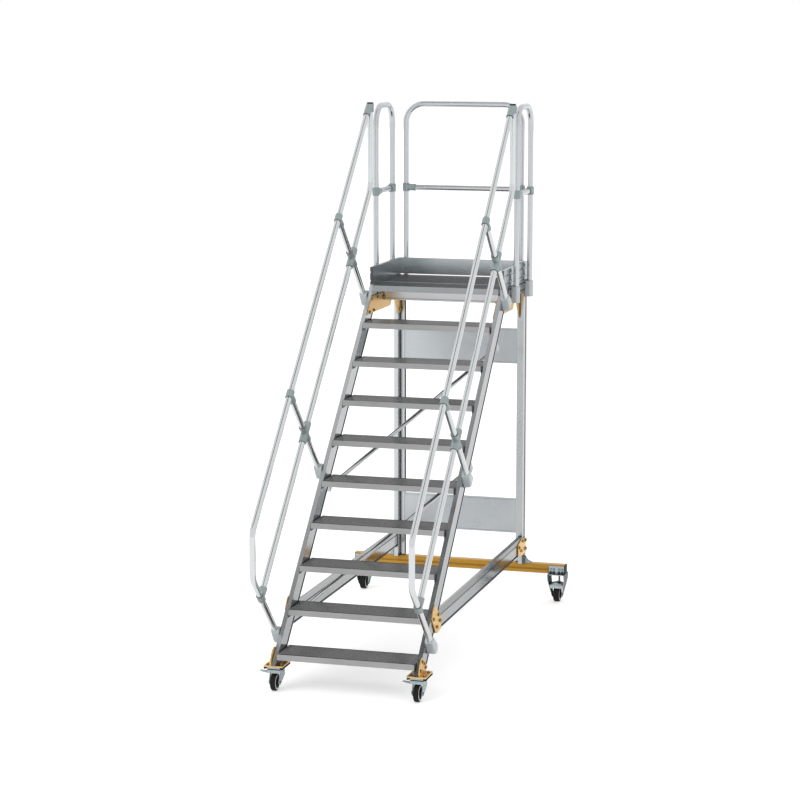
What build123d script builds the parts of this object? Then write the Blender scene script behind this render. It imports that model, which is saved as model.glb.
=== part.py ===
"""Mobile platform stairs: nine ribbed treads between two slanted extrusions, a guarded platform
on rear legs with a wide crossbeam, and four castors. Millimetres, Z up, X across, Y up the stairs.
Y counts from the nosing of the first step until the pieces are saved about the middle."""
import math
import os

from build123d import *

# Stairs
rise = 208.0
run = 208.0
step_count = 9
half_clear = 402.0
tread_depth = 222.0
tread_front = 33.5
tread_back = 12.0
tread_skin = 5.0
tread_wall = 4.0
end_cap = 2.5
deck_z = rise * (step_count + 1)
slope_length = math.hypot(rise, run) * step_count
angle = math.atan2(rise, run)
cos_a = math.cos(angle)
sin_a = math.sin(angle)

# Extrusions of the frame
web = 26.0
half_outer = half_clear + web
channel_depth = 110.0
channel_lip = 32.0
channel_edge = 5.0
channel_recess = 2.5
groove_wide = 5.0
edge_groove = 10.0
groove_deep = 6.5
nosing_proud = 30.3
front_n = nosing_proud
back_n = nosing_proud + channel_depth
mid_n = (front_n + back_n) / 2

# Platform
platform_front = run * step_count
platform_length = 668.0
platform_back = platform_front + platform_length
deck_height = 36.0
beam_height = 80.0
beam_bottom = deck_z - beam_height
cross_member = 40.0
front_member_back = 242.0
front_member_drop = 36.0
gusset_rise = 14.0
toe_height = 110.0
toe_thick = 20.0
toe_gap = 7.0
slot_deep = 4.0
gusset_thick = 5.0

# Rear legs, struts and crossbeam
leg_depth = 90.0
leg_lip = 24.0
leg_front = platform_back - leg_depth
chamber_wide = 29.0
chamber_deep = 38.0
slot_wall = 3.0
panel_slot = 16.0
panel_thick = 12.0
leg_chamber_x = half_clear - chamber_wide
leg_chamber_y = platform_back - chamber_deep
crossbeam_side = 60.0
crossbeam_half = 700.0
cap_thick = 6.0
crossbeam_top = 240.0
strut_bottom = 308.0
plate_thick = 6.0

# Tubes and their fittings
tube_r = 17.5
rail_stand = 25.0
rail_x = half_outer + rail_stand
bore_r = tube_r + 0.3
sleeve_r = tube_r + 5.5
sleeve_neck = sleeve_r - 3.0
socket_r = sleeve_r + 0.5
sleeve_half = 24.0
cross_half = 70.0
branch_reach = 62.0
branch_gap = 22.0
rail_n = -693.4
knee_n = -320.2
rail_bend = 100.0
hoop_bend = 120.0
rail_foot_y = -236.0
upright_y = platform_front + 136.0
upright_top = deck_z + 1116.0
upright_cap = 8.0
fitting_top = upright_top + 4.0 - upright_cap
elbow_long = 50.0
elbow_reach = 105.0
station = {"bottom": 171.0, "mid": 1292.0, "upper": slope_length - 47.4}
hoop_y = (platform_front + 260.0, platform_back - 44.0)
hoop_x = half_outer - 48.0
hoop_z = deck_z + 1092.0
hoop_knee_z = deck_z + 560.0
socket_low = deck_z - 110.0
socket_high = deck_z - 10.0
rear_hoop_y = platform_back + rail_stand

# Castors
wheel_r = 50.0
floor_z = -5.0
wheel_z = floor_z + wheel_r
tyre_half = 17.0
rear_tyre_half = 21.0
hub_proud = 2.5
hub_half = tyre_half + hub_proud
axle_r = 6.0
axle_play = 0.08
castor_x = half_clear + web / 2 + 1.0
castor_y = 54.0
castor_trail = 38.0
crown_z = wheel_z + wheel_r + 11.0
castor_pad_z = crown_z + 18.0
castor_plate_z = castor_pad_z + 12.0
foot_z = castor_plate_z + 8.0
rear_castor_x = crossbeam_half - 49.0
rear_castor_y = platform_back - crossbeam_side / 2

# The whole object is saved about the middle of its length
length_front = rail_foot_y - tube_r
length_back = rear_hoop_y + socket_r
y_mid = (length_front + length_back) / 2

U = Vector(0, cos_a, sin_a)
N = Vector(0, sin_a, -cos_a)
UP = Vector(0, 0, 1)
RIGHT = Vector(1, 0, 0)
BACK = Vector(0, 1, 0)


def on_slope(x, s, n):
    """Point s along the line of nosings and n behind it."""
    return Vector(x, s * cos_a + n * sin_a, rise + s * sin_a - n * cos_a)


def y_at(n, z):
    """Y of the sloping plane n behind the nosings at height z."""
    return (z - rise) / math.tan(angle) + n / sin_a


def block(x0, x1, y0, y1, z0, z1):
    size = Box(x1 - x0, y1 - y0, z1 - z0)
    return Pos((x0 + x1) / 2, (y0 + y1) / 2, (z0 + z1) / 2) * size


def plate_yz(points, x0, x1):
    """Plate cut to an outline in Y and Z, from x0 to x1."""
    face = make_face(Polyline(*points, close=True))
    return extrude(Plane((x0, 0, 0), x_dir=(0, 1, 0), z_dir=(1, 0, 0)) * face, x1 - x0)


def bar(start, end, radius):
    way = end - start
    return Solid.make_cylinder(radius, way.length, Plane(start, z_dir=way))


def cone(start, end, radius, tip):
    way = end - start
    return Solid.make_cone(radius, tip, way.length, Plane(start, z_dir=way))


def bent_tube(points, bend):
    path = FilletPolyline(*points, radius=bend)
    return sweep(Plane(path @ 0, z_dir=path % 0) * Circle(tube_r), path=path)


def channel(x0, x1, d0, d1, low, high):
    """Outline of the frame extrusion: both wide faces have a shallow recess between two grooves.
    low and high give the lip and the groove at each end of the face."""
    a = d0 + low[0]
    b = d1 - high[0]
    a_in = a + low[1]
    b_in = b - high[1]
    face = x1 - channel_recess
    floor = x1 - groove_deep
    right = [(x1, d0), (x1, a), (floor, a), (floor, a_in), (face, a_in)]
    right += [(face, b_in), (floor, b_in), (floor, b), (x1, b), (x1, d1)]
    left = [(x0 + x1 - x, d) for x, d in reversed(right)]
    return make_face(Polyline(*right, *left, close=True))


def both_sides(name, piece):
    nodes[name + "_right"] = piece
    nodes[name + "_left"] = mirror(piece, about=Plane.YZ)


def group(*pieces):
    return Compound(children=list(pieces))


nodes = {}

# Stringers, cut level at the castor plate and under the toe board
slope = Plane(on_slope(0, 0, 0), x_dir=(1, 0, 0), z_dir=U)
reach = deck_z / sin_a + 400
wide_lip = (channel_lip, groove_wide)
thin_lip = (channel_edge, edge_groove)
section = channel(half_clear, half_outer, front_n, back_n, wide_lip, thin_lip)
stringer = extrude(slope * section, reach)
stringer += extrude(slope * section, -400)
slab = block(0, 600, -600, platform_back + 600, foot_z, deck_z)
both_sides("stringer", stringer & slab)


# Treads and deck: one ribbed profile, drawn at the nosing and pushed out across the stairs
def ribbed(depth, front, back, legs, leg_deep):
    pitch = 15.0
    groove = 7.0
    deep = 2.0
    count = int((depth - 24) / pitch)
    margin = (depth - (count - 1) * pitch - groove) / 2
    top = [(0, 0)]
    for k in range(count):
        y = margin + k * pitch
        top += [(y, 0), (y + 1, -deep), (y + groove - 1, -deep), (y + groove, 0)]
    top += [(depth, 0), (depth, -back), (depth - tread_wall, -back), (depth - tread_wall, -tread_skin)]
    for k in range(legs, 0, -1):
        y = depth * k / (legs + 1)
        w = tread_wall / 2
        top += [(y + w, -tread_skin), (y + w, -leg_deep), (y - w, -leg_deep), (y - w, -tread_skin)]
    lip = front - tread_wall
    top += [(tread_wall, -tread_skin), (tread_wall, -lip), (18, -lip), (18, -front), (0, -front)]
    return top


def across(points, y, z, half):
    return plate_yz([(y + p, z + q) for p, q in points], -half, half)


tread = ribbed(tread_depth, tread_front, tread_back, 2, 20.0)
tread_half = half_clear - end_cap
nosings = [(run * i, rise * (i + 1)) for i in range(step_count)]
nodes["treads"] = group(*[across(tread, y, z, tread_half) for y, z in nosings])
cap_low = tread_front + 14
cap_far = tread_depth - 2
cap_shape = [(2, -3), (cap_far, -3), (cap_far, -tread_back - 4), (45, -cap_low), (2, -cap_low)]
end_caps = []
for y, z in nosings:
    end_caps.append(plate_yz([(y + p, z + q) for p, q in cap_shape], tread_half, half_clear))
both_sides("tread_caps", group(*end_caps))
deck = ribbed(platform_back - platform_front, deck_height, deck_height, 5, deck_height)
nodes["platform_deck"] = across(deck, platform_front, deck_z, half_clear)

# Platform frame under the deck
member_top = deck_z - deck_height
member_wall = 3.0


def cross_tube(y0, half, low):
    outer = block(-half, half, y0, y0 + cross_member, low, member_top)
    w = member_wall
    return outer - block(-half, half, y0 + w, y0 + cross_member - w, low + w, member_top - w)


front_member_y = platform_front + front_member_back
front_low = beam_bottom - front_member_drop
front_beam = cross_tube(front_member_y, half_clear - gusset_thick, front_low)
line_z = front_low + 9
front_beam -= block(-half_clear, half_clear, front_member_y, front_member_y + 1.5, line_z, line_z + 4)
nodes["platform_front_beam"] = front_beam
nodes["platform_rear_beam"] = cross_tube(platform_back - cross_member, half_clear, beam_bottom)
side_outline = [
    (y_at(back_n, beam_bottom), beam_bottom),
    (platform_back, beam_bottom),
    (platform_back, deck_z),
    (y_at(back_n, deck_z), deck_z),
]
side_beam = plate_yz(side_outline, half_clear, half_outer)
for z in (beam_bottom + 14, beam_bottom + 58):
    side_beam -= block(half_outer - slot_deep, half_outer, 0, platform_back + 1, z, z + 8)
both_sides("platform_side", side_beam)

# Toe boards round the three closed sides
toe_front = y_at(front_n, deck_z) + 1
toe_top = deck_z + toe_height
toe = block(half_outer - toe_thick, half_outer, toe_front, platform_back, deck_z, toe_top)
for z in (deck_z + 18, deck_z + 70):
    toe -= block(half_outer - slot_deep, half_outer, toe_front, platform_back, z, z + 10)
both_sides("toe_board", toe)
toe_inner = half_outer - toe_thick
toe_rear_y = platform_back - toe_thick
toe_rear = block(-toe_inner, toe_inner, toe_rear_y, platform_back, deck_z + toe_gap, toe_top)
for z in (deck_z + 18, deck_z + 70):
    toe_rear -= block(-toe_inner, toe_inner, platform_back - slot_deep, platform_back, z, z + 10)
nodes["toe_board_rear"] = toe_rear

# Rear legs with an inner chamber that the panels slide into
leg_outline = [
    (half_clear, leg_front),
    (half_outer, leg_front),
    (half_outer, leg_front + leg_lip),
    (half_outer - groove_deep, leg_front + leg_lip),
    (half_outer - groove_deep, leg_front + leg_lip + groove_wide),
    (half_outer - channel_recess, leg_front + leg_lip + groove_wide),
    (half_outer - channel_recess, platform_back - leg_lip - groove_wide),
    (half_outer - groove_deep, platform_back - leg_lip - groove_wide),
    (half_outer - groove_deep, platform_back - leg_lip),
    (half_outer, platform_back - leg_lip),
    (half_outer, platform_back),
    (leg_chamber_x, platform_back),
    (leg_chamber_x, platform_back - slot_wall),
    (leg_chamber_x + panel_slot, platform_back - slot_wall),
    (leg_chamber_x + panel_slot, leg_chamber_y + slot_wall),
    (leg_chamber_x, leg_chamber_y + slot_wall),
    (leg_chamber_x, leg_chamber_y),
    (half_clear, leg_chamber_y),
]
leg = extrude(make_face(Polyline(*leg_outline, close=True)), beam_bottom - crossbeam_top)
both_sides("rear_leg", Pos(0, 0, crossbeam_top) * leg)

panel_y = leg_chamber_y + slot_wall
panel_half = leg_chamber_x + panel_slot
panel_high = 226.0
panel_rows = {"upper": beam_bottom - 467, "lower": crossbeam_top + 190}
for row, low in panel_rows.items():
    high = low + panel_high
    panel = block(-panel_half, panel_half, panel_y, panel_y + panel_thick, low, high)
    for z in (low + 8, high - 12):
        panel -= block(-leg_chamber_x, leg_chamber_x, panel_y, panel_y + 3, z, z + 4)
    nodes["rear_panel_" + row] = panel

# Base struts, mitred to the back of the stringers
strut_top = strut_bottom + channel_depth
along = Plane((0, 0, strut_bottom), x_dir=(1, 0, 0), z_dir=(0, -1, 0))
strut_section = channel(half_clear, half_outer, 0, channel_depth, thin_lip, wide_lip)
strut = extrude(along * strut_section, -leg_front)
strut_outline = [
    (y_at(back_n, strut_bottom), strut_bottom),
    (leg_front, strut_bottom),
    (leg_front, strut_top),
    (y_at(back_n, strut_top), strut_top),
]
both_sides("base_strut", strut & plate_yz(strut_outline, half_clear, half_outer))

# Slanted tubes behind the treads, each with lugs on the backs of the stringers
brace_r = 12.5
brace_gap = 5.8
lug_tip = 17.0
brace_n = tread_depth * sin_a + tread_back * cos_a + brace_gap + brace_r
brace_ends = {"lower": (369.0, 1445.0, False), "upper": (1256.0, 2334.0, True)}
lug_half = 18.0
brace_x = castor_x - 1
for row, (left_s, right_s, left_lug) in brace_ends.items():
    tube = bar(on_slope(-brace_x, left_s, brace_n), on_slope(brace_x, right_s, brace_n), brace_r)
    brace = tube & block(-half_clear, half_clear, -600, 4000, 0, deck_z)
    for side, s, wanted in ((-1, left_s, left_lug), (1, right_s, True)):
        if wanted:
            x0 = half_clear if side > 0 else -half_outer
            lug_deep = brace_n + lug_tip - back_n
            lug = Pos(x0 + web / 2, 0, back_n + lug_deep / 2) * Box(web, 2 * lug_half, lug_deep)
            turn = Plane(on_slope(0, s, 0), x_dir=(1, 0, 0), z_dir=N)
            brace += turn * lug
    nodes["diagonal_" + row] = brace

# Crossbeam with end caps and the angles that hold the legs on it
cross_front = platform_back - crossbeam_side
cross_low = crossbeam_top - crossbeam_side


def cross_outline(grooved):
    b = 5.0
    y0, y1, z0, z1 = cross_front, platform_back, cross_low, crossbeam_top
    pts = [(y0, z0 + b), (y0, z0 + 22), (y0 + 4, z0 + 24), (y0 + 4, z0 + 32), (y0, z0 + 34), (y0, z1 - b)]
    if not grooved:
        pts = [pts[0], pts[-1]]
    rear = [(y0 + y1 - y, z) for y, z in reversed(pts)]
    return pts + [(y0 + b, z1), (y1 - b, z1)] + rear + [(y1 - b, z0), (y0 + b, z0)]


nodes["crossbeam"] = plate_yz(cross_outline(True), -crossbeam_half, crossbeam_half)
cap = plate_yz(cross_outline(False), crossbeam_half, crossbeam_half + cap_thick)
both_sides("crossbeam_cap", cap)
foot_y = cross_front + 6
foot_top = strut_bottom - 12
foot_out = half_outer + plate_thick
foot = block(half_outer, foot_out, leg_front + 16, platform_back - 10, crossbeam_top, foot_top)
foot += block(half_outer, half_outer + 46, foot_y, platform_back - 6, crossbeam_top, crossbeam_top + 7)
rib_plane = Plane((half_outer, foot_y, crossbeam_top), x_dir=(1, 0, 0), z_dir=(0, -1, 0))
rib = make_face(Polyline((0, 0), (42, 0), (42, 9), (14, 50), (0, 50), close=True))
foot += extrude(rib_plane * rib, -plate_thick)
both_sides("leg_foot", foot)

# Gusset plates inside the platform corners
gap = 3.0
meet_y = leg_front - 125
low_z = beam_bottom - 89
high_z = beam_bottom + gusset_rise
front_plate = [
    (y_at(front_n, low_z) + gap, low_z),
    (meet_y - 64, low_z),
    (meet_y, low_z + 64),
    (meet_y, high_z),
    (y_at(front_n, high_z) + gap, high_z),
]
rear_plate = [
    (leg_front - 10, beam_bottom - 162),
    (leg_chamber_y - 4, beam_bottom - 162),
    (leg_chamber_y - 4, high_z),
    (meet_y + 5, high_z),
    (meet_y + 5, low_z + 64),
]
inner = half_clear - gusset_thick
both_sides("gussets", group(*[plate_yz(shape, inner, half_clear) for shape in (front_plate, rear_plate)]))

# Bracket plates that bolt the struts to stringer and leg
joint_y = y_at(back_n, strut_bottom)
front_shape = [(-53, 97), (-8, 157), (14, 164), (142, 63), (142, 1), (56, -7), (22, 12)]
front_bracket = [(joint_y + y, strut_bottom + z) for y, z in front_shape]
rear_bracket = [
    (leg_front - 120, strut_bottom + 4),
    (leg_front - 120, strut_bottom + 82),
    (leg_front - 23, strut_bottom + 104),
    (platform_back - 12, strut_bottom + 92),
    (platform_back - 4, strut_bottom - 8),
    (leg_front - 20, strut_bottom - 8),
]
bracket_x = half_outer + plate_thick
both_sides(
    "strut_brackets",
    group(plate_yz(front_bracket, half_outer, bracket_x), plate_yz(rear_bracket, half_outer, bracket_x)),
)

# Handrails: the upper rail turns down into a leg, the knee rail turns up into an upright
leg_turn = (rail_foot_y - station["bottom"] * cos_a) / sin_a
rail_turn = (rail_foot_y - rail_n * sin_a) / cos_a
knee_turn = (upright_y - knee_n * sin_a) / cos_a
crossing = (upright_y - rail_n * sin_a) / cos_a
oblique_gap = 46.0
rail_path = [
    on_slope(rail_x, station["bottom"], mid_n),
    on_slope(rail_x, station["bottom"], leg_turn),
    on_slope(rail_x, rail_turn, rail_n),
    on_slope(rail_x, crossing - oblique_gap, rail_n),
]
both_sides("handrail", bent_tube(rail_path, rail_bend))
knee_path = [
    on_slope(rail_x, station["bottom"] + branch_gap, knee_n),
    on_slope(rail_x, knee_turn, knee_n),
    Vector(rail_x, upright_y, fitting_top - 1),
]
both_sides("knee_rail", bent_tube(knee_path, rail_bend))
for post in ("mid", "upper"):
    s = station[post]
    upper = bar(on_slope(rail_x, s, rail_n + branch_gap), on_slope(rail_x, s, knee_n - branch_gap), tube_r)
    lower = bar(on_slope(rail_x, s, knee_n + branch_gap), on_slope(rail_x, s, mid_n), tube_r)
    both_sides("post_" + post, group(upper, lower))


# Fittings
def tee(at, host, branches):
    half = sleeve_half if len(branches) == 1 else cross_half
    body = bar(at - host * half, at + host * half, sleeve_r)
    for way in branches:
        body = body + cone(at, at + way * branch_reach, sleeve_neck, sleeve_r)
    body = body - bar(at - host * 200, at + host * 200, bore_r)
    for way in branches:
        body = body - bar(at + way * branch_gap, at + way * 200, bore_r)
    return body


def rail_socket(s, sloped):
    """Teardrop socket on the outer face of the stringer that takes the foot of a post."""
    plane = Plane(on_slope(half_outer, s, 0), x_dir=N, z_dir=(1, 0, 0))
    small = Pos(mid_n - 58, 0) * Circle(sleeve_r)
    large = Pos(mid_n + 12, 0) * Circle(sleeve_r + 11)
    outline = make_hull(small.edges() + large.edges())
    body = extrude(plane * outline, rail_x - half_outer + sleeve_r)
    outer_face = body.faces().sort_by(Axis.X)[-1]
    body = fillet(outer_face.edges(), 10)
    if sloped:
        high = on_slope(rail_x + sleeve_r, s, mid_n + 6)
        low = on_slope(half_outer, s, mid_n + 45)
        under = Plane((high + low) * 0.5, x_dir=U, z_dir=(high - low).cross(U))
        body = split(body, under, keep=Keep.TOP)
    return body - bar(on_slope(rail_x, s, mid_n - 200), on_slope(rail_x, s, mid_n + 0.3), bore_r)


rail_fittings = [
    tee(on_slope(rail_x, station["bottom"], knee_n), N, [U]),
    rail_socket(station["bottom"], False),
]
for post in ("mid", "upper"):
    s = station[post]
    rail_fittings += [tee(on_slope(rail_x, s, rail_n), U, [N]), tee(on_slope(rail_x, s, knee_n), U, [N, -N])]
    rail_fittings.append(rail_socket(s, True))
top_at = on_slope(rail_x, crossing, rail_n)
elbow_low = fitting_top - elbow_long
elbow = bar(Vector(rail_x, upright_y, elbow_low), Vector(rail_x, upright_y, fitting_top), sleeve_r)
elbow = elbow + cone(top_at, top_at - U * elbow_reach, sleeve_neck, sleeve_r)
elbow = elbow & block(rail_x - 90, rail_x + 90, upright_y - 200, upright_y + 200, deck_z, fitting_top)
elbow = elbow - bar(Vector(rail_x, upright_y, deck_z), Vector(rail_x, upright_y, fitting_top + 1), bore_r)
elbow = elbow - bar(top_at - U * oblique_gap, top_at - U * 300, bore_r)
rail_fittings.append(elbow)
both_sides("rail_fittings", group(*rail_fittings))
cap_base = Vector(rail_x, upright_y, fitting_top)
both_sides("upright_cap", cone(cap_base, cap_base + UP * upright_cap, sleeve_neck, sleeve_neck - 1))


# Guard rails round the platform: hoops with a knee rail, clamped and socketed outside the frame
def hoop(a, b):
    low = Vector(0, 0, socket_low + 12)
    high = Vector(0, 0, hoop_z)
    frame = bent_tube([a + low, a + high, b + high, b + low], hoop_bend)
    way = (b - a).normalized()
    level = Vector(0, 0, hoop_knee_z)
    knee = bar(a + way * branch_gap + level, b - way * branch_gap + level, tube_r)
    clamps = [tee(a + level, UP, [way]), tee(b + level, UP, [-way])]
    return group(frame, knee), clamps


def guard_socket(at, out):
    """Upright socket at a point of the frame's outer face, with its tube standing out from it."""
    plane = Plane(at + Vector(0, 0, socket_low), x_dir=out, z_dir=(0, 0, 1))
    outline = Pos(rail_stand / 2, 0) * Rectangle(rail_stand, 2 * sleeve_r)
    outline += Pos(rail_stand, 0) * Circle(socket_r)
    body = extrude(plane * outline, socket_high - socket_low)
    centre = at + out * rail_stand
    return body - bar(centre + UP * (socket_low + 11.7), centre + UP * 5000, bore_r)


side_guard, side_clamps = hoop(Vector(rail_x, hoop_y[0], 0), Vector(rail_x, hoop_y[1], 0))
both_sides("guard", side_guard)
side_sockets = [guard_socket(Vector(half_outer, y, 0), RIGHT) for y in hoop_y]
both_sides("guard_fittings", group(*side_clamps, *side_sockets))
rear_guard, rear_clamps = hoop(Vector(-hoop_x, rear_hoop_y, 0), Vector(hoop_x, rear_hoop_y, 0))
nodes["guard_rear"] = rear_guard
rear_sockets = [guard_socket(Vector(x, platform_back, 0), BACK) for x in (-hoop_x, hoop_x)]
nodes["guard_fittings_rear"] = group(*rear_clamps, *rear_sockets)


# Wheels
def wheel(x, y, tyre):
    t = tyre
    h = tyre + hub_proud
    hole = axle_r + axle_play
    rim = wheel_r - 7
    half = [(hole, h), (15, h), (17, t - 5), (rim - 12, t - 6), (rim - 9, t - 1)]
    half += [(rim, t - 1), (wheel_r - 3, t - 3), (wheel_r, t - 7)]
    profile = half + [(r, -w) for r, w in reversed(half)]
    plane = Plane((x, y, wheel_z), x_dir=(0, 0, 1), z_dir=(0, 1, 0))
    return revolve(plane * make_face(Polyline(*profile, close=True)), Axis((x, y, wheel_z), (1, 0, 0)))


# Front castors: plate and upright on the stringer's foot, pad with kingpin, fork that swivels
plate = block(castor_x - 55, castor_x + 55, castor_y - 72, castor_y + 74, castor_plate_z, foot_z)
upright_shape = [(-66, 0), (74, 0), (74, 41), (6, 92), (-9, 92), (-49, 63), (-66, 31)]
upright = [(castor_y + y, foot_z + z) for y, z in upright_shape]
plate += plate_yz(upright, half_outer, half_outer + plate_thick)
both_sides("castor_plate", plate)
king_r = 9.0
pad = block(castor_x - 48, castor_x + 48, castor_y - 64, castor_y + 66, castor_pad_z, castor_plate_z)
pad += bar(Vector(castor_x, castor_y, castor_pad_z), Vector(castor_x, castor_y, castor_pad_z - 16), king_r)
both_sides("castor_pad", pad)

hub_gap = 8.0
cheek_thick = 4.0
cheek_in = hub_half + hub_gap
cheek_out = cheek_in + cheek_thick
axle_y = castor_y - castor_trail
cheek_back = castor_y + 46
cheek_front = castor_y - 42
cheek_low = wheel_z + 26
cheek_plane = Plane((castor_x, 0, 0), x_dir=(0, 1, 0), z_dir=(1, 0, 0))
boss = Pos(axle_y, wheel_z) * Circle(17)
head_face = Rectangle(cheek_back - cheek_front - 14, crown_z - cheek_low)
head_face = Pos((cheek_front + cheek_back + 14) / 2, (crown_z + cheek_low) / 2) * head_face
cheek_face = cheek_plane * make_hull(boss.edges() + head_face.edges())
fork = extrude(cheek_face, cheek_out, both=True) - extrude(cheek_face, cheek_in, both=True)
crown_low = wheel_z + wheel_r + 6
fork += block(castor_x - cheek_out, castor_x + cheek_out, cheek_front, cheek_back, crown_low, crown_z)
head_top = castor_pad_z - 0.4
fork += bar(Vector(castor_x, castor_y, crown_low), Vector(castor_x, castor_y, head_top), 42)
brake_x0 = castor_x - 38
brake_x1 = castor_x + 40
brake_y = castor_y - 66
fork += block(brake_x0, brake_x1, brake_y, castor_y - 30, crown_low, castor_pad_z - 5)
fork -= bar(Vector(castor_x, castor_y, wheel_z), Vector(castor_x, castor_y, castor_pad_z), king_r + axle_play)
axle_at = Vector(castor_x, axle_y, wheel_z)
axle_half = cheek_out + 5
fork += bar(axle_at - RIGHT * axle_half, axle_at + RIGHT * axle_half, axle_r)
pedal_shape = [(-34, 0), (-58, 2), (-80, 8), (-80, 11), (-56, 8), (-34, 8)]
pedal = [(x, crown_low + 1 + z) for x, z in pedal_shape]
pedal_plane = Plane((castor_x, brake_y + 26, 0), x_dir=(1, 0, 0), z_dir=(0, -1, 0))
fork += extrude(pedal_plane * make_face(Polyline(*pedal, close=True)), 26)
nodes["castor_fork_right"] = fork
nodes["castor_fork_left"] = Pos(-2 * castor_x, 0, 0) * fork
both_sides("front_wheel", wheel(castor_x, axle_y, tyre_half))

# Rear castors: sprung housings bolted under the ends of the crossbeam
wall = 3.5
house_half = 55.0
mount_half = 50.0
house_top = wheel_z + 95
house_foot = wheel_z - 20
house_in = rear_tyre_half + hub_proud + 5
shell = [
    (house_half - wall, cross_low),
    (house_half, cross_low),
    (house_half, house_top),
    (house_in + wall, house_foot),
    (house_in, house_foot),
    (house_half - wall, house_top),
]
house_y = rear_castor_y
shell_plane = Plane((rear_castor_x, house_y, 0), x_dir=(1, 0, 0), z_dir=(0, -1, 0))
shell_face = make_face(Polyline(*shell, close=True))
shell_face = shell_face + mirror(shell_face, about=Plane.YZ)
walls = extrude(shell_plane * shell_face, 100, both=True)
taper_plane = Plane((rear_castor_x, 0, 0), x_dir=(0, 1, 0), z_dir=(1, 0, 0))
axle_boss = Pos(house_y, wheel_z) * Circle(22)
taper_top = Pos(house_y, cross_low - 4) * Rectangle(136, 8)
taper = extrude(taper_plane * make_hull(axle_boss.edges() + taper_top.edges()), 60, both=True)
house = walls & taper
x0 = rear_castor_x - house_half
x1 = rear_castor_x + house_half
m0 = rear_castor_x - mount_half
m1 = rear_castor_x + mount_half
house += block(x0, x1, house_y - 50, house_y + 50, cross_low - 6, cross_low)
house += block(m0, m1, cross_front - 6, cross_front, cross_low - 6, crossbeam_top - 6)
house += block(m0, m1, platform_back, platform_back + 6, cross_low - 6, crossbeam_top - 6)
bridge_z = wheel_z + wheel_r + 6
seat_plane = Plane((rear_castor_x, house_y, bridge_z), x_dir=(1, 0, 0), z_dir=(0, -1, 0))
seat_hump = Pos(0, 9) * Circle(13)
seat_half = house_half - (house_top - bridge_z) * (house_half - house_in - wall) / (house_top - house_foot)
seat_base = Pos(0, 5) * Rectangle(2 * seat_half - wall, 10)
seat = seat_plane * (make_hull(seat_base.edges() + seat_hump.edges()))
house += extrude(seat, 37, both=True)
apron_half = seat_half - wall
apron = Box(2 * apron_half, 4, 21)
house += Pos(rear_castor_x, house_y - 39, bridge_z - 2.5) * apron
rod_x = rear_castor_x + 12
house += bar(Vector(rod_x, house_y, bridge_z + 5), Vector(rod_x, house_y, cross_low), 6)
rear_axle = Vector(rear_castor_x, house_y, wheel_z)
axle_half = house_in + wall + 7
house += bar(rear_axle - RIGHT * axle_half, rear_axle + RIGHT * axle_half, axle_r)
both_sides("rear_castor", house)
both_sides("rear_wheel", wheel(rear_castor_x, house_y, rear_tyre_half))

os.makedirs("parts", exist_ok=True)
for name, piece in nodes.items():
    export_step(Pos(0, -y_mid, -floor_z) * piece, f"parts/{name}.step")
print("nodes", len(nodes), "y_mid", y_mid)
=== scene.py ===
import math

import bmesh
import bpy
from mathutils import Matrix, Vector


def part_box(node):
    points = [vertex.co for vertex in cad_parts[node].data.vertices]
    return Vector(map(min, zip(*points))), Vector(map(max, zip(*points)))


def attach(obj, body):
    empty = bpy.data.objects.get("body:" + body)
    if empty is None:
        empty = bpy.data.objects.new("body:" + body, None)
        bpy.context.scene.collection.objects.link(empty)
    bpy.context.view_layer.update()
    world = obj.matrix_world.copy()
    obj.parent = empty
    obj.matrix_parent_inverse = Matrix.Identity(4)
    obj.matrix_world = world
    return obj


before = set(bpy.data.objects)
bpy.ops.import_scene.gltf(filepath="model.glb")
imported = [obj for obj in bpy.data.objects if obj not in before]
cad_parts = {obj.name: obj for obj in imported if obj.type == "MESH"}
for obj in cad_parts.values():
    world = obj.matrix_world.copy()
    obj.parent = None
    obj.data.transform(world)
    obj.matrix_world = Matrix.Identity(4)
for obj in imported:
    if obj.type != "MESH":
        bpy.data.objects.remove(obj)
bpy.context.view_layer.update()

# Places in millimetres count Y from the first nosing, as the stairs are laid out, and become metres here
MIDDLE_Y = 1167.5
FLOOR_Z = -5.0
RISE = 208.0
STEPS = 9
DECK_Z = RISE * (STEPS + 1)
SLOPE = math.radians(45)


def place(x, y, z):
    return Vector((x, y - MIDDLE_Y, z - FLOOR_Z)) / 1000


RIGHT = Vector((1, 0, 0))
BACK = Vector((0, 1, 0))
UP = Vector((0, 0, 1))
UPSTAIRS = Vector((0, math.cos(SLOPE), math.sin(SLOPE)))
INTO_STAIRS = Vector((0, math.sin(SLOPE), -math.cos(SLOPE)))


def on_slope(x, along, behind):
    return place(x, 0, RISE) + (UPSTAIRS * along + INTO_STAIRS * behind) / 1000


# Shared effects


def new_group(name, inputs, outputs):
    group = bpy.data.node_groups.new(name, "ShaderNodeTree")
    for label, kind, value in inputs:
        socket = group.interface.new_socket(label, in_out="INPUT", socket_type=kind)
        if value is not None:
            socket.default_value = value
    for label, kind in outputs:
        group.interface.new_socket(label, in_out="OUTPUT", socket_type=kind)
    return group, group.nodes.new("NodeGroupInput"), group.nodes.new("NodeGroupOutput")


def add(tree, kind, links=None, **values):
    """A node with its settings, and links given as input name to output socket."""
    node = tree.nodes.new(kind)
    for key, value in values.items():
        setattr(node, key, value)
    for key, source in (links or {}).items():
        if isinstance(source, (int, float, tuple)):
            node.inputs[key].default_value = source
        else:
            tree.links.new(source, node.inputs[key])
    return node


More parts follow.
